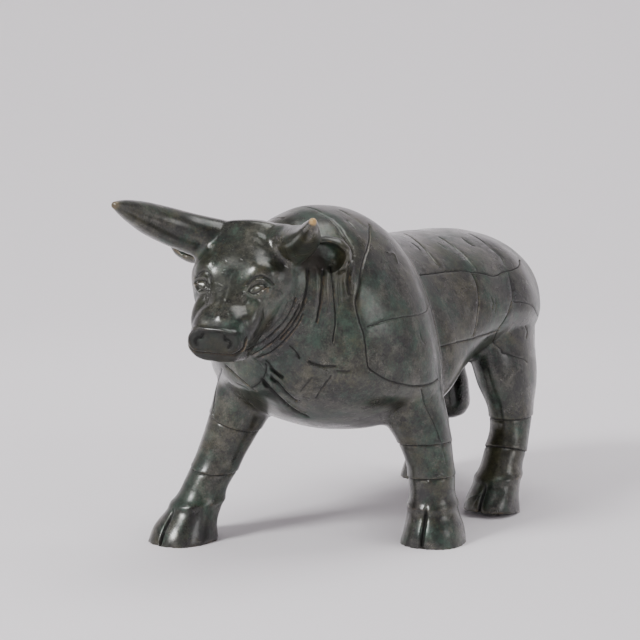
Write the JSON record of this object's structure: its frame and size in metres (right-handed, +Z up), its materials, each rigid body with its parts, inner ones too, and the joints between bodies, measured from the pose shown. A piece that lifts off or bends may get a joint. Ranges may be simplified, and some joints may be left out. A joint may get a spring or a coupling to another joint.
{
  "type": "bull sculpture",
  "caption": "Walking bull cast in dark patinated bronze, with its head low and turned to its left, long horns, and incised lines over its body and legs.",
  "frame": {"origin": "on the ground, under the middle of the bounding box", "axes": "-Y the way the bull walks, +X to its left, +Z up"},
  "size_m": [0.173, 0.3684, 0.2169],
  "materials": {
    "bronze": "glossy green-black patina with grey and verdigris patches and tan wear on raised edges"
  },
  "bodies": {
    "root": {"bull": "bronze"}
  },
  "joints": []
}
